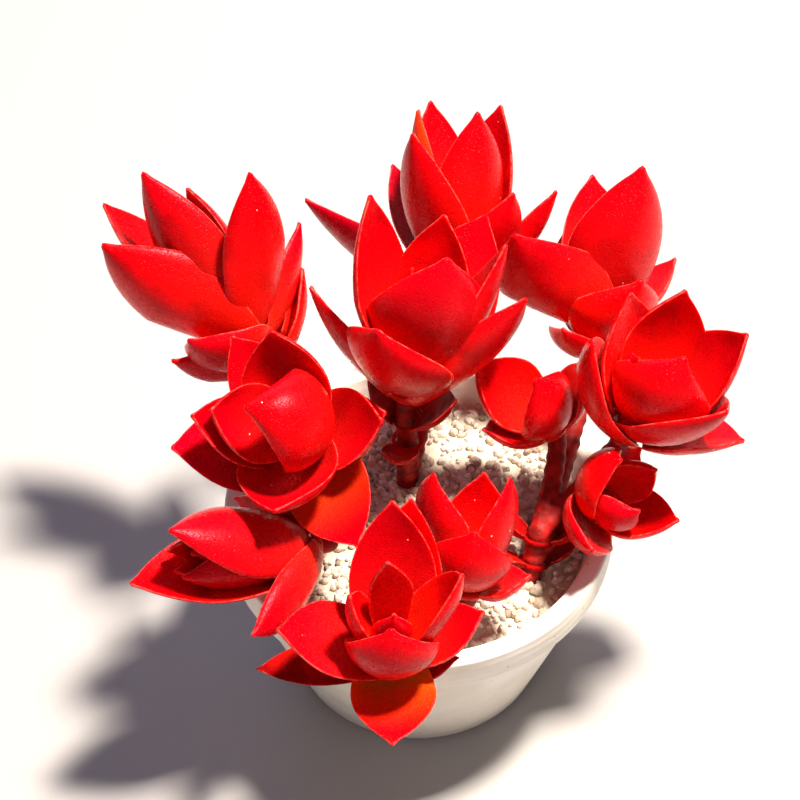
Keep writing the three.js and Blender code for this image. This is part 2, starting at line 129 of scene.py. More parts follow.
# Each rosette: the place of its lowest pair, the shoot's lean and the compass angle it leans to,
# and its pairs from the outside inwards. The last two are leaves left on the bare stems.
ROSETTES = {
    "front": {"foot": (-6, -47.7, 57), "lean": 5, "toward": 270, "pairs": [
        pair(178, leaf(92, -12, 26, 12, 40), leaf(80, 20, 11, 10, 45), old=True),
        pair(270, leaf(88, 15, 19, 19, 35, pale=0.6), leaf(46, 22, 34, 20, 40, swing=-10)),
        pair(187, leaf(70, 28, 25, 20, 35), leaf(67, 30, 20, 15, 40)),
        pair(268, leaf(66, 105, 23, 24, 70), leaf(45, 30, 31, 20, 45, swing=2)),
        pair(5, leaf(45, 40, 26, 16, 60, roll=15), leaf(34, 35, 19, 13, 55)),
        pair(275, leaf(22, 40, 13, 10, 60), leaf(16, 30, 21, 11, 60, swing=10)),
    ]},
    "fore": {"foot": (10.6, -29, 60), "lean": 20, "toward": 73, "pairs": [
        pair(350, leaf(74, 30, 11, 13, 40), leaf(70, 30, 12, 12, 40)),
        pair(262, leaf(55, 75, 19, 22, 65), leaf(35, 40, 22, 17, 55)),
        pair(5, leaf(26, 40, 23, 17, 60, roll=30), leaf(45, 55, 25, 19, 65, roll=-30)),
    ]},
    "low_left": {"foot": (-24, -19, 62), "lean": 75, "toward": 201, "pairs": [
        pair(291, leaf(55, 30, 29, 14, 45, roll=-30), leaf(60, 30, 18, 14, 45)),
        pair(21, leaf(26, 25, 34, 22, 60), leaf(16, 28, 39, 23, 50)),
        pair(291, leaf(16, 30, 26, 16, 60), leaf(16, 30, 27, 16, 60)),
        pair(21, leaf(10, 25, 20, 12, 60), leaf(10, 25, 23, 12, 60)),
    ]},
    "mid_left": {"foot": (-25, 2, 72), "lean": 30, "toward": 240, "pairs": [
        pair(185, leaf(62, 30, 30, 22, 40, purple=0.4), leaf(66, 25, 22, 18, 40)),
        pair(297, leaf(80, 25, 29, 20, 35, pale=0.5), leaf(65, 25, 26, 18, 40)),
        pair(175, leaf(45, 35, 29, 18, 50), leaf(70, 35, 24, 20, 45)),
        pair(88, leaf(62, 45, 25, 23, 60), leaf(70, 55, 26, 26, 60)),
        pair(350, leaf(60, 150, 34, 28, 75), leaf(50, 50, 22, 20, 60)),
    ]},
    "top_left": {"foot": (-34.8, 28.3, 70), "lean": 42, "toward": 136, "pairs": [
        pair(210, leaf(66, 30, 20, 16, 45, roll=-30), leaf(60, 30, 20, 12, 45)),
        pair(245, leaf(75, 55, 21, 26, 65), leaf(60, 40, 24, 18, 50)),
        pair(210, leaf(35, 25, 41, 28, 60, roll=-45), leaf(62, 30, 26, 15, 50, roll=30)),
        pair(340, leaf(42, 25, 39, 20, 60, roll=25), leaf(33, 25, 43, 20, 50)),
        pair(235, leaf(10, 20, 41, 23, 60, roll=-10), leaf(15, 25, 32, 18, 60)),
    ]},
    "back": {"foot": (8.4, 44.8, 76), "lean": 28, "toward": 84, "pairs": [
        pair(175, leaf(73, 30, 38, 21, 40, roll=-35, purple=0.6), leaf(50, 30, 32, 15, 45, roll=30)),
        pair(305, leaf(48, 35, 31, 19, 50), leaf(64, 30, 31, 17, 45, purple=0.5)),
        pair(225, leaf(36, 30, 38, 21, 55), leaf(28, 30, 38, 21, 50)),
        pair(298, leaf(18, 30, 36, 21, 60), leaf(36, 30, 35, 19, 55)),
        pair(175, leaf(28, 30, 32, 16, 55, roll=-20, burnt=0.6), leaf(16, 25, 20, 12, 55)),
    ]},
    "centre": {"foot": (-2.6, 11.6, 79), "lean": 19, "toward": 64, "pairs": [
        pair(345, leaf(46, 30, 36, 22, 50, roll=35), leaf(62, 30, 30, 16, 45, roll=-30)),
        pair(238, leaf(62, 50, 29, 30, 60), leaf(48, 30, 39, 28, 55)),
        pair(350, leaf(36, 35, 38, 22, 55), leaf(31, 30, 43, 22, 45, roll=25)),
        pair(280, leaf(42, 55, 35, 32, 70), leaf(28, 38, 33, 21, 60, swing=-25)),
        pair(10, leaf(16, 30, 20, 11, 60), leaf(16, 30, 20, 11, 60)),
    ]},
    "top_right": {"foot": (40.7, 34.3, 68), "lean": 33, "toward": 75, "pairs": [
        pair(235, leaf(80, 40, 15, 16, 45), leaf(60, 30, 24, 16, 45)),
        pair(295, leaf(60, 55, 22, 27, 65), leaf(50, 30, 26, 18, 50)),
        pair(213, leaf(66, 35, 34, 28, 60, roll=-45), leaf(67, 35, 23, 14, 50)),
        pair(285, leaf(23, 25, 38, 26, 65), leaf(38, 25, 31, 20, 50)),
    ]},
    "right": {"foot": (48, 6, 74), "lean": 19, "toward": 348, "pairs": [
        pair(345, leaf(77, 30, 22, 20, 45, roll=20), leaf(62, 60, 33, 25, 60, swing=20)),
        pair(305, leaf(47, 40, 29, 27, 60), leaf(50, 35, 28, 20, 50)),
        pair(15, leaf(38, 40, 31, 22, 60), leaf(40, 45, 22, 16, 60)),
        pair(250, leaf(58, 105, 28, 28, 70), leaf(40, 40, 27, 22, 55, swing=25)),
    ]},
    "small": {"foot": (30, 11, 68), "lean": 27, "toward": 185, "pairs": [
        pair(200, leaf(60, 40, 14, 13, 50), leaf(60, 40, 16, 14, 50)),
        pair(150, leaf(48, 65, 21, 20, 70), leaf(52, 75, 22, 20, 70, swing=-10)),
    ]},
    "low_right": {"foot": (38, -6, 60), "lean": 46, "toward": 333, "pairs": [
        pair(245, leaf(74, 50, 17, 18, 60), leaf(80, 50, 15, 16, 55)),
        pair(340, leaf(50, 50, 18, 16, 60), leaf(60, 75, 20, 20, 70)),
        pair(250, leaf(45, 70, 14, 13, 65), leaf(45, 70, 14, 13, 65)),
    ]},
    "centre_stem": {"foot": (-2.6, 11.6, 62), "lean": 0, "toward": 0, "step": 8, "pairs": [
        pair(255, leaf(70, 30, 10, 9, 45), leaf(60, 30, 9, 8, 45), old=True),
        pair(340, leaf(50, 25, 13, 13, 50), leaf(45, 30, 12, 12, 50), old=True),
    ]},
    "right_stem": {"foot": (26.1, -14, 49.2), "lean": 28, "toward": 70, "step": 6, "pairs": [
        pair(205, leaf(75, 20, 9, 7, 45), leaf(70, 20, 8, 6, 45), old=True),
        pair(170, leaf(62, 30, 11, 8, 50), leaf(60, 30, 9, 8, 50), old=True),
    ]},
}

# Each stem: its trunk's points, and each branch's first points before it ends as a shoot.
STEMS = {
    "stem_left": {"trunk": [(-23, 4.5, 26), (-23.5, 4, 46), (-23.8, 3.6, 58)], "branches": {
        "mid_left": [(-23.8, 3.7, 55)],
        "top_left": [(-23.6, 4, 50), (-28, 15, 58)],
        "low_left": [(-23.5, 4, 48), (-21.5, -6, 55)],
    }},
    "stem_centre": {"trunk": [(-2, 11, 26), (-2.6, 11.6, 46), (-2.6, 11.6, 60)], "branches": {
        "centre": [(-2.6, 11.6, 58)],
        "back": [(-2.6, 11.6, 49), (2, 26, 60)],
    }},
    "stem_right": {"trunk": [(24.5, -17, 26), (25.4, -15.6, 46), (27.4, -10, 57)], "branches": {
        "small": [(27.2, -10.8, 55.5), (30.5, 1, 60.5)],
        "low_right": [(26.5, -13.2, 51)],
        "right": [(27.2, -10.6, 56), (38, -0.5, 61)],
        "top_right": [(26.8, -11.8, 54), (35, 14, 57)],
    }},
    "stem_front": {"trunk": [(0.5, -21, 26), (0, -23, 46), (-0.5, -25, 51)], "branches": {
        "front": [(-0.4, -24.6, 49.5), (-4, -37.5, 57)],
        "fore": [(-0.2, -24, 48.5), (4.5, -27.5, 51)],
    }},
}


# A colour Mix node's sockets, by number, because several of them share a name.
SHARE, UNDER, OVER, MIXED = 0, 6, 7, 2


def linear(hex_colour):
    """An sRGB hex colour as linear red, green, blue and alpha."""
    parts = [int(hex_colour[i:i + 2], 16) / 255 for i in (1, 3, 5)]
    return [c / 12.92 if c <= 0.04045 else ((c + 0.055) / 1.055) ** 2.4 for c in parts] + [1.0]


def new_material(name):
    """An empty node material, and its Principled shader."""
    material = bpy.data.materials.new(name)
    material.use_nodes = True
    shader = material.node_tree.nodes["Principled BSDF"]
    return material, shader


def wire(material, node, inputs):
    """Sets a node's inputs, each to a value or by a link from another node's output."""
    for name, value in inputs.items():
        if isinstance(value, bpy.types.NodeSocket):
            material.node_tree.links.new(value, node.inputs[name])
        else:
            node.inputs[name].default_value = value


def add(material, kind, inputs=None, **settings):
    """Adds a node with its settings and inputs, and gives its outputs."""
    node = material.node_tree.nodes.new(kind)
    for name, value in settings.items():
        setattr(node, name, value)
    wire(material, node, inputs or {})
    return node.outputs


def leaf_flesh(name, old):
    """Living succulent leaf flesh under a waxy skin, grown in full sun. It gives the eye a deep clean
    red with a soft sheen, fine pits, a thin pale margin and a yellower base where light is short.
    On an old leaf it is darker and duller, with no yellow."""
    material, shader = new_material(name)
    place = add(material, "ShaderNodeTexCoord")["Object"]
    field = {}
    for uv_map, across, up in (
        ("blade", "margin", "along"),
        ("tint", "pale", "shade"),
        ("weather", "burnt", "purple"),
    ):
        uv = add(material, "ShaderNodeUVMap", uv_map=uv_map)["UV"]
        parts = add(material, "ShaderNodeSeparateXYZ", {"Vector": uv})
        field[across], field[up] = parts["X"], parts["Y"]
    for part, size, detail in (("patch", 11, 3), ("mottle", 1.6, 4), ("grain", 0.45, 3)):
        field[part] = add(material, "ShaderNodeTexNoise", {
            "Vector": place, "Scale": 1 / (size * MM), "Detail": detail,
        })["Fac"]
    # The pits stand a little over half a millimetre apart, and each is darkened with painted shade. The
    # specks are dried salt.
    for part, spacing in (("pits", 0.62), ("specks", 5.5)):
        field[part] = add(material, "ShaderNodeTexVoronoi", {
            "Vector": place, "Scale": 1 / (spacing * MM),
        }, feature="F1")["Distance"]
    field["char"] = add(material, "ShaderNodeMath", {
        0: field["patch"], 1: 0.5, 2: field["along"],
    }, operation="MULTIPLY_ADD")[0]

    # Each share, what it follows, where in that it starts and is full, and its least and most.
    for part, source, start, full, least, most in (
        ("dark", "patch", 0.42, 0.68, 0, 0.6),
        ("bright", "mottle", 0.5, 0.75, 0, 0.25),
        ("withered", "patch", 0.35, 0.6, 0, 1),
        ("base", "along", 0.9, 0, 0, 1),
        ("foot", "along", 0.34, 0, 0, 1),
        ("scorch", "char", 0.65, 1.1, 0, 1),
        ("line", "margin", 0.26, 0.06, 0, 1),
        ("uneven", "mottle", 0.4, 0.62, 0.1, 0.75),
        ("pit", "pits", 0.38, 0.14, 0, 1),
        ("speck", "specks", 0.038, 0.026, 0, 1),
        ("rough", "mottle", 0.3, 0.7, 0.5 if old else 0.25, 0.7 if old else 0.35),
    ):
        field[part] = add(material, "ShaderNodeMapRange", {
            "Value": field[source], "From Min": start, "From Max": full, "To Min": least, "To Max": most,
        }, interpolation_type="SMOOTHSTEP")["Result"]
    # Each product of one share and another, or of a share and a number.
    for part, first, second in (
        ("violet", "purple", 0.8),
        ("yellow", "base", "pale"),
        ("palest", "pale", "pale"),
        ("green", "foot", "palest"),
        ("scorched", "scorch", "burnt"),
        ("rim", "line", "uneven"),
        # painted shade: a share of each pit's hollow that darkens its colour as if shadowed
        ("pit_shade", "pit", 0.16),
        ("hollow", "pit", -1),
    ):
        field[part] = add(material, "ShaderNodeMath", {
            0: field[first], 1: field.get(second, second),
        }, operation="MULTIPLY")[0]

    if old:
        flesh = linear("#840608")
        layers = [("withered", "#bc0e0c"), ("violet", "#8a0028")]
    else:
        flesh = linear("#e20006")
        layers = [("shade", "#ca0012"), ("dark", "#a60008"), ("bright", "#ec0208"), ("violet", "#8a0028"),
                  ("yellow", "#e85a08"), ("green", "#b8a020")]
    # the pits' deeper red is painted shade in the hollows
    layers += [("scorched", "#e8420c"), ("rim", "#f85a50"), ("pit_shade", "#8c0206"), ("speck", "#ffe0d0")]
    for part, colour in layers:
        flesh = add(material, "ShaderNodeMix", {
            SHARE: field[part], UNDER: flesh, OVER: linear(colour),
        }, data_type="RGBA")[MIXED]
    relief = field["hollow"]
    for part, height in (("grain", 0.9), ("speck", 2)):
        relief = add(material, "ShaderNodeMath", {
            0: field[part], 1: height, 2: relief,
        }, operation="MULTIPLY_ADD")[0]
    bump = add(material, "ShaderNodeBump", {"Height": relief, "Strength": 1, "Distance": 0.075 * MM})
    wire(material, shader, {
        "Base Color": flesh,
        "Normal": bump["Normal"],
        "Roughness": field["rough"],
        "IOR": 1.42,
        "Specular IOR Level": 0.1 if old else 0.52,
        "Specular Tint": linear("#ff6a7a"),
        "Subsurface Weight": 0.05 if old else 0.38,
        "Subsurface Radius": (1, 0.12, 0.06),
        "Subsurface Scale": 2.6 * MM,
    })
    return material


def stem_bark():
    """Young succulent bark, grown: dull dark red flecked with cork, and brighter red near a growing tip."""
    material, shader = new_material("stem_bark_grown")
    place = add(material, "ShaderNodeTexCoord")["Object"]
    tint = add(material, "ShaderNodeUVMap", uv_map="tint")["UV"]
    field = {"young": add(material, "ShaderNodeSeparateXYZ", {"Vector": tint})["X"]}
    for part, size, detail in (("patch", 3, 5), ("fine", 0.5, 4)):
        field[part] = add(material, "ShaderNodeTexNoise", {
            "Vector": place, "Scale": 1 / (size * MM), "Detail": detail,
        })["Fac"]
    for part, source, start, full, most in (
        ("light", "patch", 0.35, 0.65, 1),
        ("cork", "fine", 0.58, 0.74, 0.6),
    ):
        field[part] = add(material, "ShaderNodeMapRange", {
            "Value": field[source], "From Min": start, "From Max": full, "To Max": most,
        }, interpolation_type="SMOOTHSTEP")["Result"]
    bark = linear("#6c0606")
    for part, colour in (("light", "#ac120e"), ("cork", "#b4583c"), ("young", "#c40408")):
        bark = add(material, "ShaderNodeMix", {
            SHARE: field[part], UNDER: bark, OVER: linear(colour),
        }, data_type="RGBA")[MIXED]
    bump = add(material, "ShaderNodeBump", {
        "Height": field["fine"], "Strength": 0.6, "Distance": 0.15 * MM,
    })
    wire(material, shader, {
        "Base Color": bark,
        "Normal": bump["Normal"],
        "Roughness": 0.62,
        "Specular IOR Level": 0.3,
    })
    return material


def pumice():
    """Crushed pumice, sieved to small stones: chalky off-white, full of pores, no shine."""
    material, shader = new_material("pumice_crushed")
    place = add(material, "ShaderNodeTexCoord")["Object"]
    tint = add(material, "ShaderNodeUVMap", uv_map="tint")["UV"]
    field = {
        "stone": add(material, "ShaderNodeSeparateXYZ", {"Vector": tint})["X"],
        "pores": add(material, "ShaderNodeTexVoronoi", {
            "Vector": place, "Scale": 1 / (0.5 * MM),
        }, feature="F1")["Distance"],
        "dust": add(material, "ShaderNodeTexNoise", {
            "Vector": place, "Scale": 1 / (1.2 * MM), "Detail": 4,
        })["Fac"],
    }
    for part, source, start, full, most in (
        ("buff", "stone", 0, 0.6, 1),
        ("brown", "stone", 0.78, 0.98, 1),
        ("dusty", "dust", 0.45, 0.7, 0.4),
        ("hole", "pores", 0.3, 0.12, 1),
    ):
        field[part] = add(material, "ShaderNodeMapRange", {
            "Value": field[source], "From Min": start, "From Max": full, "To Max": most,
        }, interpolation_type="SMOOTHSTEP")["Result"]
    for part, amount in (("shadow", 0.5), ("hollow", -1)):
        field[part] = add(material, "ShaderNodeMath", {0: field["hole"], 1: amount}, operation="MULTIPLY")[0]
    stone = linear("#e6e0d4")
    for part, colour in (
        ("buff", "#cfc4b2"),
        ("brown", "#8f8070"),
        ("dusty", "#b0a28e"),
        ("shadow", "#94866f"),
    ):
        stone = add(material, "ShaderNodeMix", {
            SHARE: field[part], UNDER: stone, OVER: linear(colour),
        }, data_type="RGBA")[MIXED]
    relief = add(material, "ShaderNodeMath", {
        0: field["dust"], 1: 0.8, 2: field["hollow"],
    }, operation="MULTIPLY_ADD")[0]
    bump = add(material, "ShaderNodeBump", {"Height": relief, "Strength": 0.7, "Distance": 0.25 * MM})
    wire(material, shader, {
        "Base Color": stone,
        "Normal": bump["Normal"],
        "Roughness": 0.92,
        "Specular IOR Level": 0.25,
    })
    return material


def stoneware():
    """Stoneware, thrown and dipped in a matt white glaze: soft low sheen, fine iron specks, faint
    rings from the throwing."""
    material, shader = new_material("stoneware_matt_glazed")
    place = add(material, "ShaderNodeTexCoord")["Object"]
    field = {}
    for part, size, detail in (("cloud", 22, 4), ("fine", 0.8, 3)):
        field[part] = add(material, "ShaderNodeTexNoise", {
            "Vector": place, "Scale": 1 / (size * MM), "Detail": detail,
        })["Fac"]
    field["specks"] = add(material, "ShaderNodeTexVoronoi", {
        "Vector": place, "Scale": 1 / (3.4 * MM),
    }, feature="F1")["Distance"]
    # The throwing rings stand 2.6 mm apart up the wall, and wander by up to 3 mm.
    upright = add(material, "ShaderNodeSeparateXYZ", {"Vector": place})["Z"]
    wander = add(material, "ShaderNodeMath", {
        0: field["cloud"], 1: 3 * MM, 2: upright,
    }, operation="MULTIPLY_ADD")
    rings = add(material, "ShaderNodeMath", {0: wander[0], 1: 2 * math.pi / (2.6 * MM)}, operation="MULTIPLY")
    ripple = add(material, "ShaderNodeMath", {0: rings[0]}, operation="SINE")
    for part, source, start, full, least, most in (
        ("warm", "cloud", 0.35, 0.65, 0, 1),
        ("speck", "specks", 0.09, 0.05, 0, 0.7),
        ("rough", "fine", 0.3, 0.7, 0.5, 0.62),
    ):
        field[part] = add(material, "ShaderNodeMapRange", {
            "Value": field[source], "From Min": start, "From Max": full, "To Min": least, "To Max": most,
        }, interpolation_type="SMOOTHSTEP")["Result"]
    glaze = linear("#efebe3")
    for part, colour in (("warm", "#e2dccf"), ("speck", "#8a7458")):
        glaze = add(material, "ShaderNodeMix", {
            SHARE: field[part], UNDER: glaze, OVER: linear(colour),
        }, data_type="RGBA")[MIXED]
    relief = add(material, "ShaderNodeMath", {
        0: ripple[0], 1: 0.5, 2: field["fine"],
    }, operation="MULTIPLY_ADD")
    bump = add(material, "ShaderNodeBump", {"Height": relief[0], "Strength": 0.35, "Distance": 0.12 * MM})
    wire(material, shader, {
        "Base Color": glaze,
        "Normal": bump["Normal"],
        "Roughness": field["rough"],
        "IOR": 1.5,
    })
    return material


def deselect():
    """Leaves edit mode and clears the selection, because an operator acts on all that is selected."""
    if bpy.context.object and bpy.context.object.mode != "OBJECT":
        bpy.ops.object.mode_set(mode="OBJECT")
    bpy.ops.object.select_all(action="DESELECT")


def pick(*objects):
    """Selects only these objects. The last of them is the active one."""
    deselect()
    for each in objects:
        each.select_set(True)
    bpy.context.view_layer.objects.active = objects[-1]


def apply_modifier(piece, kind, **settings):
    """Adds a modifier, sets it and applies it."""
    pick(piece)
    modifier = piece.modifiers.new(kind.lower(), kind)
    for name, value in settings.items():
        setattr(modifier, name, value)
    bpy.ops.object.modifier_apply(modifier=modifier.name)


def points_of(piece):
    """The places of a piece's vertices, one row each."""
    flat = np.empty(len(piece.data.vertices) * 3)
    piece.data.vertices.foreach_get("co", flat)
    return flat.reshape(-1, 3)


def move_points(piece, points):
    """Moves a piece's vertices to these places."""
    piece.data.vertices.foreach_set("co", np.asarray(points, float).ravel())
    piece.data.update()


def set_uv(piece, name, pairs):
    """A UV map given by one pair of numbers for each vertex."""
    layer = piece.data.uv_layers.get(name) or piece.data.uv_layers.new(name=name)
    corner = np.empty(len(piece.data.loops), int)
    piece.data.loops.foreach_get("vertex_index", corner)
    layer.data.foreach_set("uv", np.asarray(pairs, float)[corner].ravel())


def dress(piece, name, skin):
    """Names a piece and gives it its one material."""
    piece.name = name
    piece.data.materials.clear()
    piece.data.materials.append(skin)


def shoot_axis(entry):
    """The direction that a rosette's shoot leans in."""
    tilt, compass = math.radians(entry["lean"]), math.radians(entry["toward"])
    return Vector((math.sin(tilt) * math.cos(compass), math.sin(tilt) * math.sin(compass), math.cos(tilt)))


def place_on_shoot(points, entry):
    """Points made about the origin, with +Z up the shoot, taken to their place in metres."""
    turn = np.array(Vector((0, 0, 1)).rotation_difference(shoot_axis(entry)).to_matrix())
    return (points @ turn.T + np.array(entry["foot"])) * MM


def outline(s):
    """Half the leaf's width along it, as a share of the widest."""
    swell = np.sin(math.pi / 2 * np.minimum(1, s / LEAF["fullest"]))
    base = LEAF["base_width"] + (1 - LEAF["base_width"]) * swell
    past = np.maximum(0, (s - LEAF["fullest"]) / (1 - LEAF["fullest"]))
    return base * (1 - past ** LEAF["taper"]) ** LEAF["point"] + LEAF["least_width"]


def plumpness(s):
    """Thickness along the leaf as a share of the most."""
    deep = LEAF["base_depth"] + (1 - LEAF["base_depth"]) * np.sin(math.pi * s ** LEAF["deepest"])
    return deep - LEAF["tip_thinning"] * s * s


# How far apart in the noise the patches of two seeds lie, along x, y and z.
NOISE_STRIDE = (7.1, 3.7, 5.3)


def lumps(points, size, seed):
    """Smooth noise from -1 to 1 at each point, over features of that size."""
    shift = Vector([seed * stride for stride in NOISE_STRIDE])
    return np.array([noise.noise(Vector(p) / size + shift) for p in points])


AT_POLE = 1e-4  # a vertex of the unit ball nearer its axis than this is a pole


def blade(one, entry, turn, height, old, seed):
    """One leaf. A ball whose poles are the leaf's base and tip is pressed flat, drawn out to the
    outline, bent into a trough, curled along its length and twisted."""
    rng = random.Random(seed)
    bpy.ops.mesh.primitive_uv_sphere_add(segments=LEAF["sides"], ring_count=LEAF["rings"], radius=1)
    piece = bpy.context.object
    ball = points_of(piece)
    ring = np.arccos(np.clip(ball[:, 2], -1, 1)) / math.pi * LEAF["rings"]
    s = 1 - np.minimum(1, ring / (LEAF["rings"] - 1)) ** LEAF["closing"]
    radial = np.hypot(ball[:, 0], ball[:, 1])
    on_ring = np.where(radial > AT_POLE, 1 / np.maximum(radial, AT_POLE), 0)
    across, face = ball[:, 0] * on_ring, ball[:, 1] * on_ring

    opening, curl = math.radians(one["open"]), math.radians(one["curl"])
    cup, roll = math.radians(one["cup"]), math.radians(one["roll"])
    around = math.radians(turn + one["swing"])
    outward = np.array([math.cos(around), math.sin(around), 0])
    side = np.array([-math.sin(around), math.cos(around), 0])
    up = np.array([0, 0, 1])
    angle = opening - curl * s
    spine = np.clip((s - LEAF["spine_from"]) / (1 - LEAF["spine_from"]), 0, 1) ** 2 * LEAF["spine"]
    run = one["length"] * (np.cos(angle) - math.cos(opening)) / curl + spine * np.sin(angle)
    rise = one["length"] * (math.sin(opening) - np.sin(angle)) / curl + spine * np.cos(angle)
    inward = -np.outer(np.cos(angle), outward) + np.outer(np.sin(angle), up)
    rolled = (roll * np.minimum(1, s / LEAF["roll_over"]))[:, None]
    edge = side * np.cos(rolled) - inward * np.sin(rolled)
    inward = inward * np.cos(rolled) + side * np.sin(rolled)

    trough = cup * (1 - LEAF["flattening"] * s)
    half = one["width"] / 2 * outline(s)
    bend = half / trough
    depth = LEAF["thickness"] * plumpness(s) * (LEAF["old_thickness"] if old else 1)
    keel = 1 + LEAF["keel"] * np.exp(-(across / LEAF["keel_width"]) ** 2)
    through = np.where(face > 0, LEAF["back"] * keel, 1 - LEAF["back"]) * depth
    offset = -np.sign(face) * through * np.abs(face) ** LEAF["lens"]
    belly = np.sin(math.pi * np.clip(s, 0, 1))
    rise_and_fall = np.sin(2 * math.pi * (LEAF["waves"] * s + rng.random()))
    wave = LEAF["wave"] * across ** 2 * np.sign(across) * rise_and_fall * belly
    bow = LEAF["bow"] * rng.uniform(-1, 1) * belly
    middle = np.array([0, 0, height]) + np.outer(run + SHEATH["blade"], outward) + np.outer(rise, up)
    sideways = (bend - offset) * np.sin(trough * across) + bow
    lift = bend - (bend - offset) * np.cos(trough * across) + wave
    points = middle + edge * sideways[:, None] + inward * lift[:, None]

    size, swelling = (LEAF["wrinkle_size"], LEAF["wrinkle"]) if old else (LEAF["lump_size"], LEAF["lump"])
    swell = lumps(points, size, seed) * swelling * belly
    points += inward * (-face * swell)[:, None]
    move_points(piece, place_on_shoot(points, entry))
    margin = half * (1 - np.abs(across))
    pale = np.full(len(s), one["pale"] + LEAF["pale_spread"] * rng.random())
    set_uv(piece, "blade", np.stack([margin, s], 1))
    set_uv(piece, "tint", np.stack([pale, np.full(len(s), rng.random())], 1))
    set_uv(piece, "weather", np.tile([one["burnt"], one["purple"]], (len(s), 1)))
    return piece


def sheath(entry, height, slight):
    """The collar round the stem in which the two leaves of a pair are one. It is slight on an old
    pair and on the youngest."""
    thick = SHEATH["thick"] * (SHEATH["slight"] if slight else 1)
    radius = SHEATH["radius"] - (SHEATH["drawn_in"] if slight else 0)
    bpy.ops.mesh.primitive_torus_add(major_radius=radius, minor_radius=thick,
                                     major_segments=SHEATH["sides"], minor_segments=SHEATH["tube_sides"])
    piece = bpy.context.object
    points = points_of(piece) * np.array([1, 1, SHEATH["tall"]]) + np.array([0, 0, height])
    move_points(piece, place_on_shoot(points, entry))
    flat = np.zeros((len(points), 2))
    set_uv(piece, "blade", flat + np.array([SHEATH["off_margin"], 0]))
    set_uv(piece, "tint", flat + np.array([SHEATH["pale"], SHEATH["shade"]]))
    set_uv(piece, "weather", flat)
    return piece


def face_out(piece):
    """Turns every face of a closed piece outwards."""
    pick(piece)
    bpy.ops.object.mode_set(mode="EDIT")
    bpy.ops.mesh.select_all(action="SELECT")
    bpy.ops.mesh.normals_make_consistent(inside=False)
    bpy.ops.object.mode_set(mode="OBJECT")


def leaf_pair(name, entry, level, skin):
    """One pair: two blades joined to their collar as one closed skin."""
    given = entry["pairs"][level]
    height = level * entry.get("step", PAIR_STEP)
    seed = sum(ord(c) for c in name) * 10 + level
    last = level == len(entry["pairs"]) - 1
    deselect()
    piece = sheath(entry, height, given["old"] or last)
    face_out(piece)
    for half, one in enumerate(given["leaves"]):
        deselect()
        part = blade(one, entry, given["turn"] + 180 * half, height, given["old"], seed + 5 * half)
        face_out(part)
        apply_modifier(piece, "BOOLEAN", operation="UNION", object=part, solver="MANIFOLD")
        bpy.data.objects.remove(part)
    dress(piece, f"{name}_leaves_{level + 1}", skin)
    pick(piece)
    bpy.ops.object.shade_smooth()
    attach(piece, "root")
    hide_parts(f"{name}_pair_{level + 1}")


def smooth_path(points, step):
    """Points along a curve through the given ones, about a step apart (centripetal Catmull-Rom)."""
    at = [np.array(p, float) for p in points]
    at = [2 * at[0] - at[1]] + at + [2 * at[-1] - at[-2]]
    made = []
    for i in range(1, len(at) - 2):
        p0, p1, p2, p3 = at[i - 1:i + 3]
        gaps = [np.linalg.norm(b - a) ** 0.5 for a, b in ((p0, p1), (p1, p2), (p2, p3))]
        t0, t1 = 0, gaps[0]
        t2, t3 = t1 + gaps[1], t1 + gaps[1] + gaps[2]
        count = max(2, round(np.linalg.norm(p2 - p1) / step))
        for t in np.linspace(t1, t2, count, endpoint=i == len(at) - 3):
            a1 = (t1 - t) / (t1 - t0) * p0 + (t - t0) / (t1 - t0) * p1
            a2 = (t2 - t) / (t2 - t1) * p1 + (t - t1) / (t2 - t1) * p2
            a3 = (t3 - t) / (t3 - t2) * p2 + (t - t2) / (t3 - t2) * p3
            b1 = (t2 - t) / (t2 - t0) * a1 + (t - t0) / (t2 - t0) * a2
            b2 = (t3 - t) / (t3 - t1) * a2 + (t - t1) / (t3 - t1) * a3
            made.append((t2 - t) / (t2 - t1) * b1 + (t - t1) / (t2 - t1) * b2)
    return np.array(made)


def rod(points, first, last, growing_tip=0):
    """A tapering rod along a curve, ringed by leaf scars, with closed ends. Where a growing tip's
    length is given, the rod narrows to a point over it."""
    path = smooth_path(points, STEM["step"])
    travel = np.concatenate([[0], np.cumsum(np.linalg.norm(np.diff(path, axis=0), axis=1))])
    share = np.minimum(1, travel / travel[-1] / STEM["thinnest"])
    radius = first + (last - first) * share
    ripple = np.cos(2 * math.pi * travel / STEM["scar_spacing"])
    radius *= 1 + STEM["scar_depth"] * np.sign(ripple) * np.abs(ripple) ** STEM["scar_sharpness"]
    if growing_tip:
        left = np.minimum(1, (travel[-1] - travel) / growing_tip)
        radius *= np.maximum(STEM["tip_end"], np.sin(math.pi / 2 * left) ** STEM["tip_fullness"])
    bpy.ops.curve.primitive_nurbs_path_add()
    curve = bpy.context.object
    curve.data.splines.clear()
    spline = curve.data.splines.new("POLY")
    spline.points.add(len(path) - 1)
    for knot, at, wide in zip(spline.points, path, radius):
        knot.co = (*(at * MM), 1)
        knot.radius = wide
    curve.data.bevel_depth = MM
    curve.data.bevel_resolution = STEM["tube_sides"]
    curve.data.use_fill_caps = True
    pick(curve)
    bpy.ops.object.convert(target="MESH")
    return bpy.context.object


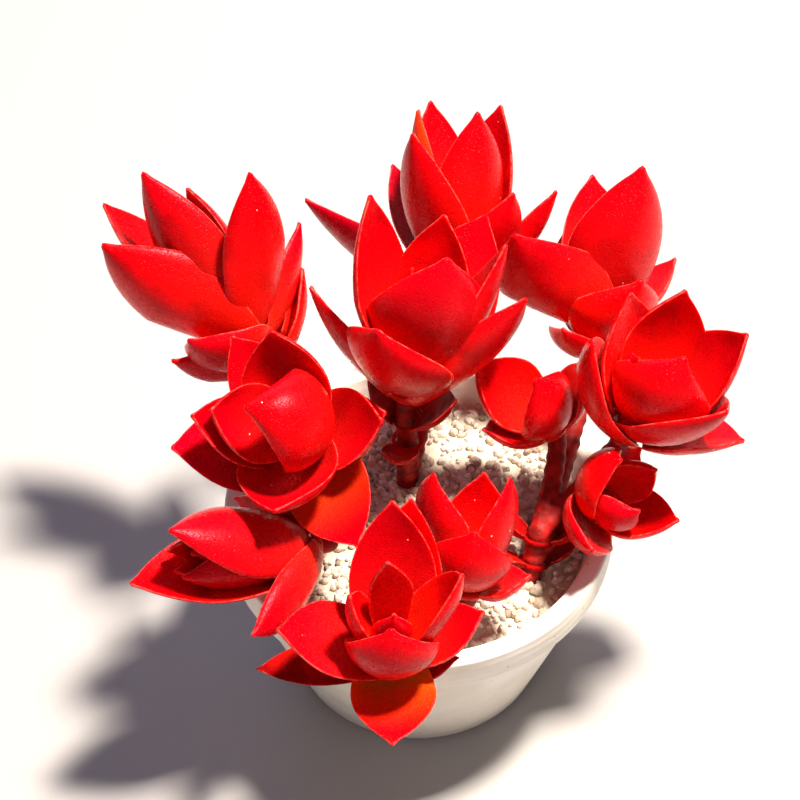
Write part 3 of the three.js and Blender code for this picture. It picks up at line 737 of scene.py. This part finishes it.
def stem(name, given, bark):
    """A trunk and its branches, grown together."""
    deselect()
    rods = [rod(given["trunk"], STEM["root"], STEM["fork"])]
    tops = []
    for to, through in given["branches"].items():
        entry = ROSETTES[to]
        axis = np.array(shoot_axis(entry))
        foot = np.array(entry["foot"], float)
        top = foot + axis * ((len(entry["pairs"]) - 1) * PAIR_STEP + STEM["above_top"])
        tops.append(top)
        route = [*through, foot - axis * STEM["below_foot"], foot, top]
        deselect()
        rods.append(rod(route, STEM["fork"], STEM["shoot"], STEM["growing_tip"]))
    pick(*rods)
    bpy.ops.object.join()
    piece = bpy.context.object
    apply_modifier(piece, "REMESH", mode="VOXEL", voxel_size=STEM["voxel"] * MM)
    apply_modifier(piece, "SMOOTH", factor=0.5, iterations=3)
    points = points_of(piece)
    swell = lumps(points / MM, STEM["lump_size"], STEM["lump_seed"]) * STEM["lump"] * MM
    normals = np.empty(len(points) * 3)
    piece.data.vertices.foreach_get("normal", normals)
    move_points(piece, points + normals.reshape(-1, 3) * swell[:, None])
    away = np.min([np.linalg.norm(points / MM - top, axis=1) for top in tops], axis=0)
    young = np.clip(STEM["young"] - away / STEM["young_fade"], 0, 1)
    set_uv(piece, "tint", np.stack([young, np.zeros(len(young))], 1))
    dress(piece, name.replace("stem", "branching_stem"), bark)
    pick(piece)
    bpy.ops.object.shade_smooth()
    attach(piece, "root")
    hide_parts(name)


# The pot, as its CAD node gives it: its outside radii and heights.
POT = {
    "height": 52,
    "rim": 45,
    "band": 9,
    "band_slope": 0.6,  # the height over which the wall steps out to the band
    "overhang": 2,
    "base": 30,
    "wall": 4,
    "floor": 5,
    "floor_radius": 27,
    "lip": 1,  # the hollow reaches its full radius this far below the top
    "sides": 96,
    "bevel": 0.9,
    "bevel_steps": 4,
    "bevel_over": 25,  # an edge that turns by more degrees than this is rounded
    "smooth_under": 35,
    "drain": 3.5,
    "drain_at": 16,
    "drains": 3,
    "drain_sides": 32,
    "drill": 20,
}
# The grit. Each pair of numbers is a range that a stone's own value is drawn from.
GRIT = {
    "below_rim": 7,
    "dome": 2.5,
    "gap": 0.3,
    "bed_edge": 0.4,  # how far the bed's edge lies below the stones'
    "bed_rings": 6,
    "bed_sides": 64,
    "bed_tint": 0.7,
    "seed": 4,
    "stones": 1500,
    "stone": 1.55,  # the largest stone's radius
    "sizes": (0.45, 1),
    "finer": 1.5,  # over 1 makes small stones the more common
    "inside": 0.6,  # how far the outermost stones stay from the pot's wall
    "overlap": 0.8,  # the share of its size that keeps a stone off the wall
    "stretch": ((0.8, 1.3), (0.7, 1.1), (0.55, 0.9)),
    "chipping": 0.22,
    "chip_size": 0.8,
    "tilt": ((-1, 1), (-1, 1), (-0.3, 0.3)),
    "bedding": (-0.35, 0.25),  # how far up a stone sits, as a share of its size
}


def turned(profile, sides):
    """A body turned about the z axis: a disc extruded and scaled from ring to ring up the profile."""
    deselect()
    radius, z = profile[0]
    bpy.ops.mesh.primitive_circle_add(vertices=sides, radius=radius * MM, fill_type="NGON",
                                      location=(0, 0, z * MM))
    piece = bpy.context.object
    bpy.ops.object.transform_apply(location=True, rotation=True, scale=True)
    bpy.ops.object.mode_set(mode="EDIT")
    bpy.ops.mesh.select_all(action="SELECT")
    for (near, low), (far, high) in zip(profile, profile[1:]):
        bpy.ops.mesh.extrude_region_move(TRANSFORM_OT_translate={"value": (0, 0, (high - low) * MM)})
        bpy.ops.transform.resize(value=(far / near, far / near, 1), center_override=(0, 0, high * MM))
    bpy.ops.object.mode_set(mode="OBJECT")
    face_out(piece)
    return piece


def inner_radius(z):
    """The radius of the pot's hollow at that height."""
    bottom, top = POT["floor_radius"], POT["rim"] - POT["wall"]
    return bottom + (top - bottom) * (z - POT["floor"]) / (POT["height"] - POT["lip"] - POT["floor"])


def pot(glaze):
    """The tub: its wall turned up, over and down to the floor, then the drain holes cut."""
    body = POT["rim"] - POT["overhang"]
    band = POT["height"] - POT["band"]
    piece = turned([
        (POT["base"], 0),
        (body, band - POT["band_slope"]),
        (POT["rim"], band),
        (POT["rim"], POT["height"]),
        (POT["rim"] - POT["wall"], POT["height"]),
        (inner_radius(POT["floor"]), POT["floor"]),
    ], POT["sides"])
    apply_modifier(piece, "BEVEL", width=POT["bevel"] * MM, segments=POT["bevel_steps"], limit_method="ANGLE",
                   angle_limit=math.radians(POT["bevel_over"]))
    for i in range(POT["drains"]):
        turn = math.pi / 2 + 2 * math.pi * i / POT["drains"]
        x, y = POT["drain_at"] * math.cos(turn) * MM, POT["drain_at"] * math.sin(turn) * MM
        deselect()
        bpy.ops.mesh.primitive_cylinder_add(vertices=POT["drain_sides"], radius=POT["drain"] * MM,
                                            depth=POT["drill"] * MM, location=(x, y, 0))
        hole = bpy.context.object
        apply_modifier(piece, "BOOLEAN", operation="DIFFERENCE", object=hole, solver="MANIFOLD")
        bpy.data.objects.remove(hole)
    dress(piece, "stoneware_pot", glaze)
    pick(piece)
    bpy.ops.object.shade_smooth_by_angle(angle=math.radians(POT["smooth_under"]))
    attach(piece, "root")
    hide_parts("pot")


def bed_of_grit(rim, edge):
    """The body of the mix below the loose stones, up to a low dome."""
    bottom = POT["floor"] + GRIT["gap"]
    shoulder = edge - GRIT["bed_edge"]
    profile = [(inner_radius(bottom) - GRIT["gap"], bottom), (rim, shoulder)]
    for i in range(1, GRIT["bed_rings"]):
        share = i / GRIT["bed_rings"]
        profile.append((rim * (1 - share), shoulder + GRIT["dome"] * math.sin(share * math.pi / 2)))
    bed = turned(profile, GRIT["bed_sides"])
    set_uv(bed, "tint", np.full((len(bed.data.vertices), 2), GRIT["bed_tint"]))
    return bed


def loose_stones(rim, edge):
    """Small chipped balls, each stretched, tilted and bedded in the dome."""
    rng = random.Random(GRIT["seed"])
    deselect()
    bpy.ops.mesh.primitive_ico_sphere_add(subdivisions=2, radius=1)
    ball = bpy.context.object
    unit = points_of(ball)
    faces = np.array([list(f.vertices) for f in ball.data.polygons])
    bpy.data.objects.remove(ball)
    points, polygons, tints = [], [], []
    for i in range(GRIT["stones"]):
        away = (rim - GRIT["inside"]) * math.sqrt(rng.random())
        turn = rng.uniform(0, 2 * math.pi)
        size = GRIT["stone"] * rng.uniform(*GRIT["sizes"]) ** GRIT["finer"]
        away = min(away, rim - size * GRIT["overlap"])
        stretch = np.array([rng.uniform(*reach) for reach in GRIT["stretch"]]) * size
        rough = 1 + GRIT["chipping"] * lumps(unit, GRIT["chip_size"], i)
        tilt = Vector([rng.uniform(*reach) for reach in GRIT["tilt"]])
        matrix = np.array(tilt.normalized().rotation_difference(Vector((0, 0, 1))).to_matrix())
        top = edge + GRIT["dome"] * math.sin((1 - away / rim) * math.pi / 2)
        height = top + size * rng.uniform(*GRIT["bedding"])
        at = np.array([away * math.cos(turn), away * math.sin(turn), height])
        polygons.append(faces + len(unit) * i)
        points.append(((unit * rough[:, None] * stretch) @ matrix.T + at) * MM)
        tints.append(np.tile([rng.random(), 0.5], (len(unit), 1)))
    mesh = bpy.data.meshes.new("stones")
    mesh.from_pydata(np.concatenate(points).tolist(), [], np.concatenate(polygons).tolist())
    stones = bpy.data.objects.new("stones", mesh)
    bpy.context.scene.collection.objects.link(stones)
    set_uv(stones, "tint", np.concatenate(tints))
    return stones


def grit(stone_skin):
    """The potting mix: one body up to its domed top, and loose stones bedded in that top."""
    edge = POT["height"] - GRIT["below_rim"]
    rim = inner_radius(edge) - GRIT["gap"]
    bed = bed_of_grit(rim, edge)
    stones = loose_stones(rim, edge)
    pick(bed, stones)
    bpy.ops.object.join()
    piece = bpy.context.object
    dress(piece, "pumice_grit", stone_skin)
    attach(piece, "root")
    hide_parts("potting_mix")


# The camera, which looks down at the plant from the front: a long lens on a 36 mm sensor.
CAMERA = {
    "target": (-4.4, 0, 90),
    "distance": 600,
    "elevation": 50,
    "lens": 122.7,
    "sensor": 36,
    "near": 0.01,  # metres
}
# The lamps: the direction from the plant, then metres away, metres across, watts and colour.
LAMP_TARGET = (0, 0, 80)
LAMPS = {
    "key": ((0.3, 0.1, 0.95), 1.1, 0.15, 43, "#fff1e2"),
    "fill": ((0.1, -0.85, 0.5), 1.3, 1.2, 2.6, "#ffd4ca"),
    "sky": ((-0.2, 0.8, 0.6), 1.3, 0.9, 4, "#c0c4ff"),
}
STUDIO = {"floor": "#a8a8a8", "floor_across": 6, "world": "#e6ecf6", "world_strength": 0.18}


def camera():
    """The camera at its place, made the scene's own."""
    rise = math.radians(CAMERA["elevation"])
    back = Vector((0, -math.cos(rise), math.sin(rise)))
    data = bpy.data.cameras.new("camera")
    data.lens = CAMERA["lens"]
    data.sensor_width = CAMERA["sensor"]
    data.clip_start = CAMERA["near"]
    made = bpy.data.objects.new("camera", data)
    made.location = (Vector(CAMERA["target"]) + back * CAMERA["distance"]) * MM
    made.rotation_euler = back.to_track_quat("Z", "Y").to_euler()
    bpy.context.scene.collection.objects.link(made)
    bpy.context.scene.camera = made


def lamp(name, toward, away, size, watts, colour):
    """A square soft light, that far away in that direction, facing the plant."""
    data = bpy.data.lights.new(name, "AREA")
    data.size = size
    data.energy = watts
    data.color = linear(colour)[:3]
    made = bpy.data.objects.new(name, data)
    direction = Vector(toward).normalized()
    made.location = Vector(LAMP_TARGET) * MM + direction * away
    made.rotation_euler = direction.to_track_quat("Z", "Y").to_euler()
    bpy.context.scene.collection.objects.link(made)


def studio():
    """A plain grey floor, one small high key light, a wide weak fill in front and a cool one behind."""
    deselect()
    bpy.ops.mesh.primitive_plane_add(size=STUDIO["floor_across"])
    floor = bpy.context.object
    floor.name = "studio_floor"
    # Flat emulsion paint, rolled on: even and dull, so that the plant alone takes the eye.
    material, shader = new_material("studio_floor_painted")
    wire(material, shader, {"Base Color": linear(STUDIO["floor"]), "Roughness": 0.9})
    floor.data.materials.append(material)
    for name, settings in LAMPS.items():
        lamp(name, *settings)
    world = bpy.data.worlds.new("studio")
    bpy.context.scene.world = world
    world.use_nodes = True
    background = world.node_tree.nodes["Background"]
    background.inputs["Color"].default_value = linear(STUDIO["world"])
    background.inputs["Strength"].default_value = STUDIO["world_strength"]
    bpy.context.scene.view_settings.view_transform = "Standard"


camera()
studio()
leaf_skin = leaf_flesh("leaf_flesh_waxy_grown", old=False)
old_leaf_skin = leaf_flesh("leaf_flesh_withered", old=True)
bark = stem_bark()
for name, entry in ROSETTES.items():
    for level, given in enumerate(entry["pairs"]):
        leaf_pair(name, entry, level, old_leaf_skin if given["old"] else leaf_skin)
for name, given in STEMS.items():
    stem(name, given, bark)
pot(stoneware())
grit(pumice())
deselect()
